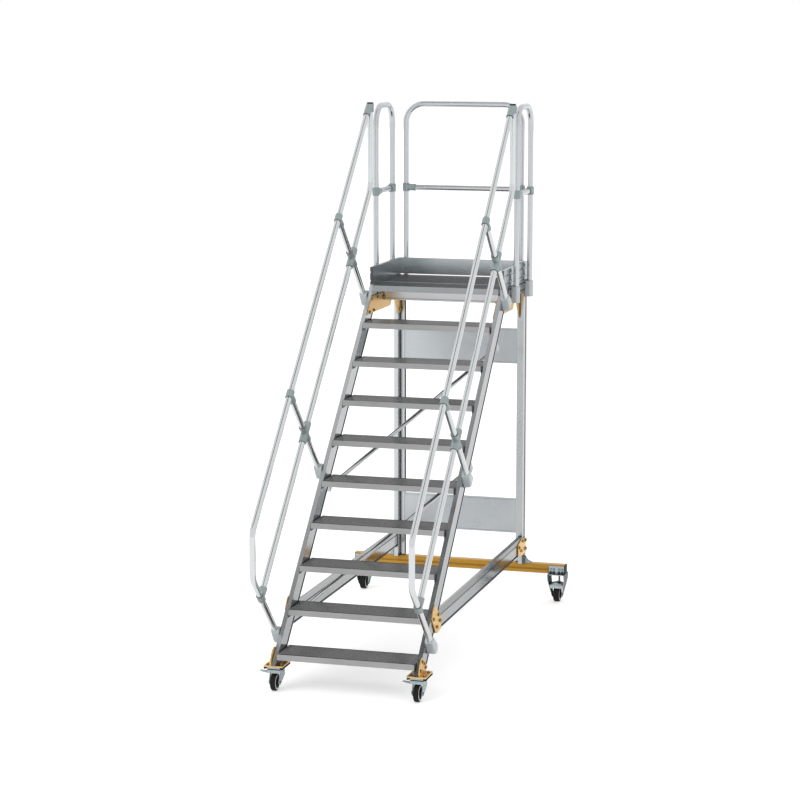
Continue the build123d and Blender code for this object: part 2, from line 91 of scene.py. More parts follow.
def drawn_grain_group():
    """Fine lines drawn out along X, as a die or a brush leaves them."""
    group, given, out = new_group(
        "drawn_grain",
        [("Vector", "NodeSocketVector", None), ("Along", "NodeSocketFloat", 6.0), ("Across", "NodeSocketFloat", 900.0)],
        [("Grain", "NodeSocketFloat")],
    )
    scale = add(group, "ShaderNodeCombineXYZ", {0: given.outputs["Along"], 1: given.outputs["Across"],
                                                2: given.outputs["Across"]})
    stretched = add(group, "ShaderNodeVectorMath", {0: given.outputs["Vector"], 1: scale.outputs[0]},
                    operation="MULTIPLY")
    lines = add(group, "ShaderNodeTexNoise", {"Vector": stretched.outputs[0], "Scale": 1.0, "Detail": 3.0,
                                              "Roughness": 0.6})
    group.links.new(lines.outputs[0], out.inputs["Grain"])
    return group


def handling_group():
    """Soft blotches and short scuffs from hands, shoes and transport."""
    group, given, out = new_group(
        "handling_marks",
        [("Vector", "NodeSocketVector", None), ("Size", "NodeSocketFloat", 7.0)],
        [("Blotch", "NodeSocketFloat"), ("Scuff", "NodeSocketFloat")],
    )
    blotch = add(group, "ShaderNodeTexNoise", {"Vector": given.outputs["Vector"], "Scale": given.outputs["Size"],
                                               "Detail": 4.0, "Roughness": 0.55})
    finer = add(group, "ShaderNodeMath", {0: given.outputs["Size"], 1: 14.0}, operation="MULTIPLY")
    scratch = add(group, "ShaderNodeTexNoise", {"Vector": given.outputs["Vector"], "Scale": finer.outputs[0],
                                                "Detail": 6.0, "Roughness": 0.7, "Distortion": 1.2})
    narrow = add(group, "ShaderNodeMapRange", {"Value": scratch.outputs[0], "From Min": 0.60, "From Max": 0.72})
    group.links.new(blotch.outputs[0], out.inputs["Blotch"])
    group.links.new(narrow.outputs[0], out.inputs["Scuff"])
    return group


def edge_wear_and_highlight_group():
    """Mask along the sharp edges of a piece, broken up by noise, for rubbed wear and a painted highlight."""
    group, given, out = new_group(
        "edge_wear_and_highlight",
        [("Vector", "NodeSocketVector", None), ("Width", "NodeSocketFloat", 0.002)],
        [("Rub", "NodeSocketFloat")],
    )
    rounded = add(group, "ShaderNodeBevel", {"Radius": given.outputs["Width"]}, samples=4)
    face = add(group, "ShaderNodeNewGeometry")
    same = add(group, "ShaderNodeVectorMath", {0: rounded.outputs[0], 1: face.outputs["Normal"]},
               operation="DOT_PRODUCT")
    edge = add(group, "ShaderNodeMapRange", {"Value": same.outputs["Value"], "From Min": 0.99, "From Max": 0.90})
    broken = add(group, "ShaderNodeTexNoise", {"Vector": given.outputs["Vector"], "Scale": 60.0, "Detail": 4.0})
    patchy = add(group, "ShaderNodeMapRange", {"Value": broken.outputs[0], "From Min": 0.40, "From Max": 0.62})
    mask = add(group, "ShaderNodeMath", {0: edge.outputs[0], 1: patchy.outputs[0]}, operation="MULTIPLY")
    group.links.new(mask.outputs[0], out.inputs["Rub"])
    return group


def crevice_shade_group():
    """Mask in grooves, slots and inner corners, where light hardly reaches, for painted shade."""
    group, given, out = new_group(
        "painted_crevice_shade",
        [("Reach", "NodeSocketFloat", 0.010), ("Depth", "NodeSocketFloat", 0.55)],
        [("Dark", "NodeSocketFloat")],
    )
    open_sky = add(group, "ShaderNodeAmbientOcclusion", {"Distance": given.outputs["Reach"]}, samples=8)
    dark = add(group, "ShaderNodeMapRange", {"Value": open_sky.outputs["AO"], "From Min": 0.92,
                                             "From Max": given.outputs["Depth"]})
    group.links.new(dark.outputs[0], out.inputs["Dark"])
    return group


DRAWN = drawn_grain_group()
HANDLING = handling_group()
EDGE_WEAR_AND_HIGHLIGHT = edge_wear_and_highlight_group()
CREVICE_SHADE = crevice_shade_group()


def material(name):
    made = bpy.data.materials.new(name)
    made.use_nodes = True
    tree = made.node_tree
    shader = tree.nodes["Principled BSDF"]
    where = add(tree, "ShaderNodeTexCoord").outputs["Object"]
    return made, tree, shader, where


def tint(tree, fac, low, high):
    """Colour that goes from low to high with a value."""
    mix = add(tree, "ShaderNodeMix", {"Factor": fac}, data_type="RGBA")
    mix.inputs[6].default_value = (*low, 1)
    mix.inputs[7].default_value = (*high, 1)
    return mix.outputs[2]


def over(tree, mask, below, above):
    """A plain colour laid over another by a mask."""
    mix = add(tree, "ShaderNodeMix", {"Factor": mask, 6: below}, data_type="RGBA")
    mix.inputs[7].default_value = (*above, 1)
    return mix.outputs[2]


def spread(tree, value, low, high):
    return add(tree, "ShaderNodeMapRange", {"Value": value, "To Min": low, "To Max": high}).outputs[0]


def beyond(tree, where, normal, at, soft=0.002):
    """Mask of the side of a plane that its normal points to; at is a point of the plane."""
    along = add(tree, "ShaderNodeVectorMath", {0: where, 1: tuple(normal)}, operation="DOT_PRODUCT")
    level = normal.dot(at)
    return add(tree, "ShaderNodeMapRange", {"Value": along.outputs["Value"], "From Min": level - soft,
                                            "From Max": level + soft}).outputs[0]


def both_masks(tree, first, second):
    return add(tree, "ShaderNodeMath", {0: first, 1: second}, operation="MULTIPLY").outputs[0]


def shaded(tree, colour, reach, depth, amount):
    """A colour with painted shade, near black, laid into the crevices of a piece."""
    painted_crevice_shade = add(tree, "ShaderNodeGroup", node_tree=CREVICE_SHADE)
    painted_crevice_shade.inputs["Reach"].default_value = reach
    painted_crevice_shade.inputs["Depth"].default_value = depth
    part = add(tree, "ShaderNodeMath", {0: painted_crevice_shade.outputs["Dark"], 1: amount}, operation="MULTIPLY").outputs[0]
    return over(tree, part, colour, (0.012, 0.012, 0.013))


def drawn_metal(name, low, high, rough, turn=(0, 0, 0), across=900.0, scuffs=0.25, lines=0.10, reach=0.010,
                crevice_shade=0.9, edge=1.0, top=None, top_rough=0.16, part=None, seam=None):
    """Drawn or brushed metal with its grain along the piece. top is the darker colour of level faces, a painted dark
    reflection, part a second colour beyond planes (colour, [(normal, at)]), seam a thin line of joint filler
    (colour, normal, at, half width), both alike on the left and the right and on level faces only where there
    are such, and edge how much a glancing view brightens it. Its crevices get painted shade."""
    made, tree, shader, where = material(name)
    turned = add(tree, "ShaderNodeMapping", {"Vector": where, "Rotation": turn}).outputs[0]
    grain = add(tree, "ShaderNodeGroup", node_tree=DRAWN)
    tree.links.new(turned, grain.inputs["Vector"])
    grain.inputs["Across"].default_value = across
    marks = add(tree, "ShaderNodeGroup", node_tree=HANDLING)
    tree.links.new(where, marks.inputs["Vector"])
    both = add(tree, "ShaderNodeMath", {0: grain.outputs[0], 1: marks.outputs["Blotch"]}, operation="ADD")
    half = add(tree, "ShaderNodeMath", {0: both.outputs[0], 1: 0.5}, operation="MULTIPLY")
    even = add(tree, "ShaderNodeMapRange", {"Value": half.outputs[0], "From Min": 0.3, "From Max": 0.7}).outputs[0]
    faint = add(tree, "ShaderNodeMath", {0: marks.outputs["Scuff"], 1: scuffs}, operation="MULTIPLY").outputs[0]
    colour = tint(tree, even, low, high)
    light = tuple(min(1.0, c * 1.10) for c in high)
    colour = over(tree, faint, colour, light)
    gloss = spread(tree, even, rough - 0.05, rough + 0.07)
    # Level faces get the darker top colour as a painted dark reflection.
    if top:
        normal = add(tree, "ShaderNodeNewGeometry").outputs["Normal"]
        rising = add(tree, "ShaderNodeSeparateXYZ", {"Vector": normal}).outputs["Z"]
        level = add(tree, "ShaderNodeMapRange", {"Value": rising, "From Min": 0.5, "From Max": 0.9}).outputs[0]
        painted_top_reflection = tint(tree, even, top, tuple(c * 1.3 for c in top))
        mix = add(tree, "ShaderNodeMix", {"Factor": level, 6: colour, 7: painted_top_reflection}, data_type="RGBA")
        colour = mix.outputs[2]
        worn = spread(tree, even, top_rough - 0.04, top_rough + 0.06)
        gloss = add(tree, "ShaderNodeMix", {"Factor": level, 2: gloss, 3: worn}).outputs[0]
    alike = add(tree, "ShaderNodeVectorMath", {0: where}, operation="ABSOLUTE").outputs[0]
    if part:
        second, planes = part
        mask = level if top else None
        for normal, at in planes:
            side = beyond(tree, alike, normal, at)
            mask = side if mask is None else both_masks(tree, mask, side)
        colour = over(tree, mask, colour, second)
    if seam:
        line, normal, at, half_width = seam
        mask = both_masks(tree, beyond(tree, alike, normal, at - normal * half_width, 0.0005),
                          beyond(tree, alike, -normal, at + normal * half_width, 0.0005))
        strip = both_masks(tree, mask, level) if top else mask
        colour = over(tree, strip, colour, line)
        tree.links.new(spread(tree, strip, 1.0, 0.0), shader.inputs["Metallic"])
    else:
        shader.inputs["Metallic"].default_value = 1.0
    # Painted shade darkens the crevices of the metal.
    tree.links.new(shaded(tree, colour, reach, 0.6, crevice_shade), shader.inputs["Base Color"])
    tree.links.new(gloss, shader.inputs["Roughness"])
    shader.inputs["Specular Tint"].default_value = (edge, edge, edge, 1)
    bump = add(tree, "ShaderNodeBump", {"Height": grain.outputs[0], "Strength": lines, "Distance": 0.0003})
    tree.links.new(bump.outputs[0], shader.inputs["Normal"])
    return made


def painted(name, low, high, painted_groove_shade, worn, rough):
    """Powder coat with a fine orange peel, painted shade of a deeper colour in its grooves, and a little rubbed along
    its edges.
    """
    made, tree, shader, where = material(name)
    marks = add(tree, "ShaderNodeGroup", node_tree=HANDLING)
    tree.links.new(where, marks.inputs["Vector"])
    wear_and_highlight = add(tree, "ShaderNodeGroup", node_tree=EDGE_WEAR_AND_HIGHLIGHT)
    tree.links.new(where, wear_and_highlight.inputs["Vector"])
    painted_crevice_shade = add(tree, "ShaderNodeGroup", node_tree=CREVICE_SHADE)
    painted_crevice_shade.inputs["Reach"].default_value = 0.014
    painted_crevice_shade.inputs["Depth"].default_value = 0.6
    colour = tint(tree, marks.outputs["Blotch"], low, high)
    # Painted shade of the deeper colour in the grooves.
    colour = over(tree, painted_crevice_shade.outputs["Dark"], colour, painted_groove_shade)
    tree.links.new(over(tree, wear_and_highlight.outputs["Rub"], colour, worn), shader.inputs["Base Color"])
    tree.links.new(spread(tree, marks.outputs["Scuff"], rough, rough + 0.15), shader.inputs["Roughness"])
    peel = add(tree, "ShaderNodeTexNoise", {"Vector": where, "Scale": 700.0, "Detail": 2.0})
    bump = add(tree, "ShaderNodeBump", {"Height": peel.outputs[0], "Strength": 0.10, "Distance": 0.0004})
    tree.links.new(bump.outputs[0], shader.inputs["Normal"])
    return made


def moulded(name, low, high, rough, metallic=0.0, part=None, sheen=0.5):
    """Moulded or cast surface with a fine texture and painted shade in its crevices; part is a second colour beyond a
    plane (colour, normal, at).
    """
    made, tree, shader, where = material(name)
    marks = add(tree, "ShaderNodeGroup", node_tree=HANDLING)
    tree.links.new(where, marks.inputs["Vector"])
    colour = tint(tree, marks.outputs["Blotch"], low, high)
    if part:
        second, normal, at = part
        colour = over(tree, beyond(tree, where, normal, at), colour, second)
    tree.links.new(shaded(tree, colour, 0.012, 0.4, 0.35), shader.inputs["Base Color"])
    tree.links.new(spread(tree, marks.outputs["Scuff"], rough, rough + 0.12), shader.inputs["Roughness"])
    pores = add(tree, "ShaderNodeTexNoise", {"Vector": where, "Scale": 1400.0, "Detail": 2.0})
    bump = add(tree, "ShaderNodeBump", {"Height": pores.outputs[0], "Strength": 0.18, "Distance": 0.0004})
    tree.links.new(bump.outputs[0], shader.inputs["Normal"])
    shader.inputs["Metallic"].default_value = metallic
    shader.inputs["Specular IOR Level"].default_value = sheen
    return made


def plated(name, low, high, rough, reach=0.008, worn=None, middle=None, edge=1.0):
    """Plated steel with the cloudy colours of its passivation and painted shade in its crevices. worn is the colour
    of rubbed edges, lightened also as a painted highlight; faces that look across at a middle plane, as the insides
    of a housing do, get painted shade."""
    made, tree, shader, where = material(name)
    cloud = add(tree, "ShaderNodeTexVoronoi", {"Vector": where, "Scale": 90.0})
    marks = add(tree, "ShaderNodeGroup", node_tree=HANDLING)
    tree.links.new(where, marks.inputs["Vector"])
    flake = add(tree, "ShaderNodeSeparateColor", {"Color": cloud.outputs["Color"]}).outputs[0]
    both = add(tree, "ShaderNodeMath", {0: flake, 1: marks.outputs["Blotch"]}, operation="ADD")
    half = add(tree, "ShaderNodeMath", {0: both.outputs[0], 1: 0.5}, operation="MULTIPLY").outputs[0]
    # Painted shade in the crevices of the plating.
    colour = shaded(tree, tint(tree, half, low, high), reach, 0.4, 0.85)
    # Rubbed edges, lightened also as a painted highlight.
    if worn:
        wear_and_highlight = add(tree, "ShaderNodeGroup", node_tree=EDGE_WEAR_AND_HIGHLIGHT)
        tree.links.new(where, wear_and_highlight.inputs["Vector"])
        colour = over(tree, wear_and_highlight.outputs["Rub"], colour, worn)
    # Faces turned towards the middle plane get painted shade, a dark grey over the plating.
    if middle:
        aside = add(tree, "ShaderNodeVectorMath", {0: where, 1: tuple(middle)}, operation="SUBTRACT").outputs[0]
        side = add(tree, "ShaderNodeSeparateXYZ", {"Vector": aside}).outputs["X"]
        facing_x = add(tree, "ShaderNodeSeparateXYZ",
                       {"Vector": add(tree, "ShaderNodeNewGeometry").outputs["Normal"]}).outputs["X"]
        inward = add(tree, "ShaderNodeMath", {0: side, 1: facing_x}, operation="MULTIPLY").outputs[0]
        painted_inner_shade = add(tree, "ShaderNodeMapRange", {"Value": inward, "From Min": -0.008, "From Max": -0.020,
                                                "To Max": 0.65}).outputs[0]
        colour = over(tree, painted_inner_shade, colour, (0.045, 0.058, 0.062))
    tree.links.new(colour, shader.inputs["Base Color"])
    tree.links.new(spread(tree, half, rough - 0.06, rough + 0.08), shader.inputs["Roughness"])
    grain = add(tree, "ShaderNodeTexNoise", {"Vector": where, "Scale": 1100.0, "Detail": 2.0})
    bump = add(tree, "ShaderNodeBump", {"Height": grain.outputs[0], "Strength": 0.10, "Distance": 0.0003})
    tree.links.new(bump.outputs[0], shader.inputs["Normal"])
    shader.inputs["Metallic"].default_value = 1.0
    shader.inputs["Specular Tint"].default_value = (edge, edge, edge, 1)
    return made


RIM_OUTER = 0.0430
RIM_INNER = 0.0338
RIM_SOFT = 0.0002


def castor_wheel(name, centre):
    """Black rubber tyre, grey rim ring and black hub, told apart by their distance from the axle."""
    made, tree, shader, where = material(name)
    moved = add(tree, "ShaderNodeVectorMath", {0: where, 1: tuple(centre)}, operation="SUBTRACT")
    flat = add(tree, "ShaderNodeVectorMath", {0: moved.outputs[0], 1: (0.0, 1.0, 1.0)}, operation="MULTIPLY")
    radius = add(tree, "ShaderNodeVectorMath", {0: flat.outputs[0]}, operation="LENGTH").outputs["Value"]
    outer = add(tree, "ShaderNodeMapRange", {"Value": radius, "From Min": RIM_OUTER + RIM_SOFT,
                                             "From Max": RIM_OUTER - RIM_SOFT}).outputs[0]
    inner = add(tree, "ShaderNodeMapRange", {"Value": radius, "From Min": RIM_INNER - RIM_SOFT,
                                             "From Max": RIM_INNER + RIM_SOFT}).outputs[0]
    ring = both_masks(tree, outer, inner)
    wear = add(tree, "ShaderNodeTexNoise", {"Vector": where, "Scale": 55.0, "Detail": 5.0}).outputs[0]
    rubber = tint(tree, wear, (0.007, 0.007, 0.008), (0.018, 0.018, 0.019))
    tree.links.new(over(tree, ring, rubber, (0.60, 0.61, 0.62)), shader.inputs["Base Color"])
    tree.links.new(spread(tree, wear, 0.50, 0.72), shader.inputs["Roughness"])
    grain = add(tree, "ShaderNodeTexNoise", {"Vector": where, "Scale": 900.0, "Detail": 2.0})
    bump = add(tree, "ShaderNodeBump", {"Height": grain.outputs[0], "Strength": 0.2, "Distance": 0.0004})
    tree.links.new(bump.outputs[0], shader.inputs["Normal"])
    shader.inputs["Specular IOR Level"].default_value = 0.15
    return made


def plate_and_pad(name, centre):
    """Plated swivel plate between black rubber edges, told apart by the distance from the kingpin; the black also
    stands in as painted shade on the side faces.
    """
    made, tree, shader, where = material(name)
    moved = add(tree, "ShaderNodeVectorMath", {0: where, 1: tuple(centre)}, operation="SUBTRACT")
    across = add(tree, "ShaderNodeSeparateXYZ", {"Vector": moved.outputs[0]}).outputs["X"]
    beside = add(tree, "ShaderNodeMath", {0: across}, operation="ABSOLUTE").outputs[0]
    edge = add(tree, "ShaderNodeMapRange", {"Value": beside, "From Min": 0.0375, "From Max": 0.0385}).outputs[0]
    wear = add(tree, "ShaderNodeTexNoise", {"Vector": where, "Scale": 60.0, "Detail": 5.0}).outputs[0]
    steel = tint(tree, wear, (0.26, 0.31, 0.33), (0.42, 0.48, 0.50))
    tree.links.new(over(tree, edge, steel, (0.006, 0.006, 0.007)), shader.inputs["Base Color"])
    shader.inputs["Specular IOR Level"].default_value = 0.0
    tree.links.new(spread(tree, edge, 1.0, 0.0), shader.inputs["Metallic"])
    tree.links.new(spread(tree, wear, 0.26, 0.50), shader.inputs["Roughness"])
    grain = add(tree, "ShaderNodeTexNoise", {"Vector": where, "Scale": 1000.0, "Detail": 2.0})
    bump = add(tree, "ShaderNodeBump", {"Height": grain.outputs[0], "Strength": 0.12, "Distance": 0.0003})
    tree.links.new(bump.outputs[0], shader.inputs["Normal"])
    return made


ALONG_X = (0, 0, 0)
ALONG_Y = (0, 0, math.pi / 2)
ALONG_Z = (0, math.pi / 2, 0)
ALONG_SLOPE = (-SLOPE, 0, 0)

# Points that part two finishes on one node
SOCKETS_BEHIND = on_slope(0, 0, -120)
SOCKETS_BELOW = place(0, 0, DECK_Z + 60)
STRUT_LIP = place(0, 0, 388)
STRUT_OUTSIDE = place(415, 0, 0)
TREAD_JOINT = place(358, 0, 0)
DECK_JOINT = place(0, 2092, 0)
TOE_FRONT = place(0, 1918, 0)

# Colours that more than one finish has, darkest and lightest
DARK_LINE = (0.02, 0.021, 0.022)
CLAMP_GREYS = (0.25, 0.305, 0.305), (0.33, 0.385, 0.385)

slope_alu = drawn_metal("aluminium_stringer", (0.49, 0.505, 0.515), (0.57, 0.585, 0.595), 0.15, ALONG_SLOPE, edge=0.75)
# The struts' second colour is a painted dark reflection on the upper lip of their outer faces; the seam is a dark joint
# line.
level_alu = drawn_metal("aluminium_strut", (0.46, 0.475, 0.485), (0.54, 0.555, 0.565), 0.15, ALONG_Y, edge=0.75,
                        part=((0.36, 0.37, 0.375), [(UP, STRUT_LIP), (RIGHT, STRUT_OUTSIDE)]),
                        seam=(DARK_LINE, UP, STRUT_LIP, 0.0042))
side_alu = drawn_metal("aluminium_side_beam", (0.42, 0.44, 0.45), (0.52, 0.54, 0.55), 0.20, ALONG_Y, reach=0.020,
                       crevice_shade=1.0, edge=0.75)
upright_alu = drawn_metal("aluminium_leg", (0.52, 0.54, 0.55), (0.62, 0.64, 0.65), 0.22, ALONG_Z, reach=0.016, edge=0.8)
cross_alu = drawn_metal("aluminium_beam", (0.58, 0.59, 0.60), (0.70, 0.71, 0.72), 0.30, ALONG_X)
panel_alu = drawn_metal("aluminium_panel", (0.50, 0.53, 0.55), (0.58, 0.61, 0.63), 0.30, ALONG_X, crevice_shade=0.25)
# The darker top colours of treads and deck are a painted dark reflection on their level faces.
tread_alu = drawn_metal("aluminium_tread", (0.31, 0.31, 0.31), (0.39, 0.39, 0.39), 0.34, ALONG_X, scuffs=0.1, edge=0.32,
                        lines=0.03, crevice_shade=0.35, top=(0.145, 0.146, 0.146), top_rough=0.13,
                        seam=(DARK_LINE, RIGHT, TREAD_JOINT, 0.0015))
deck_alu = drawn_metal("aluminium_deck", (0.285, 0.30, 0.305), (0.36, 0.38, 0.385), 0.34, ALONG_X, scuffs=0.1,
                       edge=0.30, lines=0.10, top=(0.088, 0.092, 0.093),
                       part=((0.076, 0.082, 0.084), [(BACK, DECK_JOINT)]),
                       seam=((0.30, 0.31, 0.315), BACK, DECK_JOINT, 0.015))
toe_alu = drawn_metal("aluminium_toe_board", (0.48, 0.52, 0.53), (0.58, 0.62, 0.63), 0.22, ALONG_Y, reach=0.010,
                      crevice_shade=0.15, edge=0.75, part=((0.120, 0.125, 0.130), [(-BACK, TOE_FRONT)]))
tube_alu = drawn_metal("aluminium_tube", (0.61, 0.63, 0.64), (0.68, 0.70, 0.71), 0.12, ALONG_SLOPE, scuffs=0.1,
                       lines=0.03, reach=0.006, crevice_shade=0.5)
hoop_alu = drawn_metal("aluminium_hoop", (0.50, 0.52, 0.54), (0.57, 0.59, 0.61), 0.20, ALONG_Z, scuffs=0.1,
                       lines=0.03, reach=0.006, crevice_shade=0.5)
rail_clamp = moulded("clamp_grey", *CLAMP_GREYS, 0.36, 0.3,
                     ((0.50, 0.545, 0.565), INTO_STAIRS, SOCKETS_BEHIND))
guard_clamp = moulded("guard_clamp_grey", *CLAMP_GREYS, 0.36, 0.3,
                      ((0.545, 0.575, 0.595), -UP, SOCKETS_BELOW))
yellow_coat = painted("yellow_powder_coat", (0.50, 0.245, 0.008), (0.58, 0.30, 0.016), (0.24, 0.085, 0.002),
                      (0.70, 0.50, 0.20), 0.34)
yellow_gusset = plated("yellow_passivated_gusset", (0.46, 0.26, 0.05), (0.72, 0.46, 0.17), 0.36, 0.005,
                       (0.85, 0.68, 0.40))
yellow_plate = plated("yellow_passivated_plate", (0.58, 0.34, 0.06), (0.92, 0.60, 0.26), 0.34, 0.005,
                      (0.95, 0.78, 0.52))
black_plastic = moulded("black_plastic", (0.008, 0.008, 0.009), (0.018, 0.018, 0.020), 0.55, sheen=0.15)
# Black rubber for the pad edges, dark also as painted shade on the pads' side faces.
black_rubber_and_painted_shade = moulded("black_rubber_and_painted_shade", (0.006, 0.006, 0.007), (0.014, 0.014, 0.015), 0.6, sheen=0.0)
# Dark grey tread end caps, darkened also as a painted shadow at the tread ends.
tread_cap_grey_and_shade = moulded("tread_cap_grey_and_painted_shade", (0.070, 0.072, 0.075), (0.105, 0.108, 0.112), 0.5, sheen=0.2)
zinc = plated("zinc_plate", (0.27, 0.33, 0.345), (0.44, 0.51, 0.525), 0.24, reach=0.022)
# Blackened bolts, dark also as painted shade, for the lower row on the castor housings.
dark_bolt_and_shade = plated("blackened_bolt_with_painted_shade", (0.020, 0.024, 0.026), (0.075, 0.085, 0.090), 0.30)
yellow_zinc = plated("yellow_passivated_bolt", (0.36, 0.26, 0.08), (0.62, 0.49, 0.22), 0.26)

dress = {
    slope_alu: ["stringer_left", "stringer_right", "diagonal_lower", "diagonal_upper"],
    level_alu: ["base_strut_left", "base_strut_right"],
    side_alu: ["platform_side_left", "platform_side_right"],
    upright_alu: ["rear_leg_left", "rear_leg_right"],
    cross_alu: ["platform_front_beam", "platform_rear_beam"],
    panel_alu: ["rear_panel_upper", "rear_panel_lower"],
    tread_alu: ["treads"],
    deck_alu: ["platform_deck"],
    toe_alu: ["toe_board_left", "toe_board_right", "toe_board_rear"],
    tube_alu: ["handrail_left", "handrail_right", "knee_rail_left", "knee_rail_right", "post_mid_left",
               "post_mid_right", "post_upper_left", "post_upper_right"],
    hoop_alu: ["guard_left", "guard_right", "guard_rear"],
    rail_clamp: ["rail_fittings_left", "rail_fittings_right"],
    guard_clamp: ["guard_fittings_left", "guard_fittings_right", "guard_fittings_rear"],
    yellow_coat: ["crossbeam"],
    yellow_gusset: ["gussets_left", "gussets_right"],
    yellow_plate: ["strut_brackets_left", "strut_brackets_right", "castor_plate_left", "castor_plate_right"],
    black_plastic: ["crossbeam_cap_left", "crossbeam_cap_right", "upright_cap_left", "upright_cap_right"],
    tread_cap_grey_and_shade: ["tread_caps_left", "tread_caps_right"],
    zinc: ["leg_foot_left", "leg_foot_right", "castor_fork_left", "castor_fork_right"],
}


def put_on(name, finish):
    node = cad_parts[name]
    node.data.materials.clear()
    node.data.materials.append(finish)


def centre_of(name):
    low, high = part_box(name)
    return (low + high) / 2


for finish, names in dress.items():
    for name in names:
        put_on(name, finish)
# The castor housings get painted shade inside: on the faces turned to their middle and in crevices up to 60 mm deep.
for name in ("rear_castor_left", "rear_castor_right"):
    put_on(name, plated("housing_" + name, (0.38, 0.44, 0.455), (0.54, 0.61, 0.625), 0.24, 0.060,
                        middle=centre_of(name), edge=0.3))
for name in ("castor_pad_left", "castor_pad_right"):
    put_on(name, plate_and_pad("swivel_" + name, centre_of(name)))
for name in ("front_wheel_left", "front_wheel_right", "rear_wheel_left", "rear_wheel_right"):
    put_on(name, castor_wheel("castor_" + name, centre_of(name)))


# Bolts


def facing(spot, normal):
    """Placement with Z along the normal."""
    return Matrix.Translation(spot) @ normal.to_track_quat("Z", "Y").to_matrix().to_4x4()


def lathe_step(bm, where, radius_low, radius_high, low, high, sides):
    made = bmesh.ops.create_cone(bm, cap_ends=True, segments=sides, radius1=radius_low / 1000,
                                 radius2=radius_high / 1000, depth=(high - low) / 1000,
                                 matrix=where @ Matrix.Translation((0, 0, (low + high) / 2000)))
    return made["verts"]


def hex_bolt(bm, spot, normal, size):
    """Washer, hexagon head with a chamfered crown and the end of the thread in its nut."""
    where = facing(spot, normal)
    lathe_step(bm, where, size * 1.02, size * 1.02, 0, size * 0.16, 20)
    lathe_step(bm, where, size * 0.86, size * 0.86, size * 0.16, size * 0.66, 6)
    lathe_step(bm, where, size * 0.80, size * 0.62, size * 0.66, size * 0.78, 6)
    lathe_step(bm, where, size * 0.42, size * 0.38, size * 0.78, size * 0.98, 14)


def pan_screw(bm, spot, normal, size):
    """Low domed head with a hexagon socket."""
    where = facing(spot, normal)
    lathe_step(bm, where, size, size, 0, size * 0.25, 18)
    lathe_step(bm, where, size, size * 0.72, size * 0.25, size * 0.48, 18)
    ring = lathe_step(bm, where, size * 0.72, size * 0.46, size * 0.48, size * 0.54, 6)
    top = [f for v in ring for f in v.link_faces]
    caps = {f for f in top if len(f.verts) == 6 and f.normal.dot(normal) > 0.9}
    pushed = bmesh.ops.extrude_discrete_faces(bm, faces=list(caps))["faces"]
    bmesh.ops.translate(bm, verts=[v for f in pushed for v in f.verts], vec=-normal * size * 0.00035)


def hardware(name, body, finish, shape, rows):
    """One joined piece of all the bolts in a table of (spot, outward normal, size in mm)."""
    bm = bmesh.new()
    for spot, normal, size in rows:
        shape(bm, spot, normal, size)
    return finish_piece(bm, name, body, finish)


def finish_piece(bm, name, body, finish):
    """The mesh as a piece that rides on its body."""
    bmesh.ops.recalc_face_normals(bm, faces=bm.faces)
    mesh = bpy.data.meshes.new(name)
    bm.to_mesh(mesh)
    bm.free()
    mesh.materials.append(finish)
    piece = bpy.data.objects.new(name, mesh)
    bpy.context.collection.objects.link(piece)
    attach(piece, body)
    return piece


PLATE_X = 434.0
GUSSET_X = 397.0
OUTER_X = 428.0

# Bolts seen from the outside of each plate: Y, Z
strut_bolts = [(280, 399), (350, 340), (381, 404), (416, 362), (2446, 392), (2349, 369), (2403, 337)]
long_bolts = [(2515, 385), (2515, 330)]
upright_bolts = [(88, 196), (112, 168), (14, 172), (52, 214)]
foot_bolts = [(2480, 275), (2512, 275)]
gusset_bolts = [(1856, 1998), (1973, 1997), (2101, 1984), (1898, 1923), (1806, 1922), (2475, 1862), (2472, 1990),
                (2400, 1998)]
# Bolts on level plates: X, Y, Z
plate_bolts = [(456, 12, 144), (456, 98, 144), (378, 12, 144), (378, 98, 144)]
flange_bolts = [(458, 2510, 247)]
castor_bolts = (613, 634, 668, 690)
HOUSING_Y = (2474, 2546)

for side, sign in (("left", -1), ("right", 1)):
    out = RIGHT * sign
    rows = [(place(sign * PLATE_X, y, z), out, 11.0) for y, z in strut_bolts]
    rows += [(place(sign * PLATE_X, y, z), out, 13.0) for y, z in long_bolts]
    hardware(f"bolts_strut_{side}", "frame", yellow_zinc, hex_bolt, rows)
    rows = [(place(sign * GUSSET_X, y, z), -out, 10.0) for y, z in gusset_bolts]
    hardware(f"bolts_gusset_{side}", "frame", yellow_zinc, hex_bolt, rows)
    rows = [(place(sign * PLATE_X, y, z), out, 10.0) for y, z in upright_bolts]
    rows += [(place(sign * x, y, z), UP, 10.0) for x, y, z in plate_bolts]
    hardware(f"bolts_castor_plate_{side}", "frame", yellow_zinc, hex_bolt, rows)
    rows = [(place(sign * PLATE_X, y, z), out, 10.0) for y, z in foot_bolts]
    rows += [(place(sign * x, y, z), UP, 10.0) for x, y, z in flange_bolts]
    hardware(f"bolts_leg_foot_{side}", "frame", zinc, hex_bolt, rows)
    # The lower row of castor bolts is blackened, dark also as painted shade below the lighter upper row.
    for row, z, size, finish in (("low", 190, 9.0, dark_bolt_and_shade), ("high", 212, 7.5, zinc)):
        rows = []
        for y, normal in zip(HOUSING_Y, (-BACK, BACK)):
            rows += [(place(sign * x, y, z), normal, size) for x in castor_bolts]
        hardware(f"bolts_rear_castor_{row}_{side}", "frame", finish, hex_bolt, rows)
    rows = []
    for y in (2096, 2460):
        for z in (2168, 2113, 2048):
            rows.append((place(sign * OUTER_X, y, z), out, 9.0))
    hardware(f"screws_toe_board_{side}", "frame", zinc, pan_screw, rows)

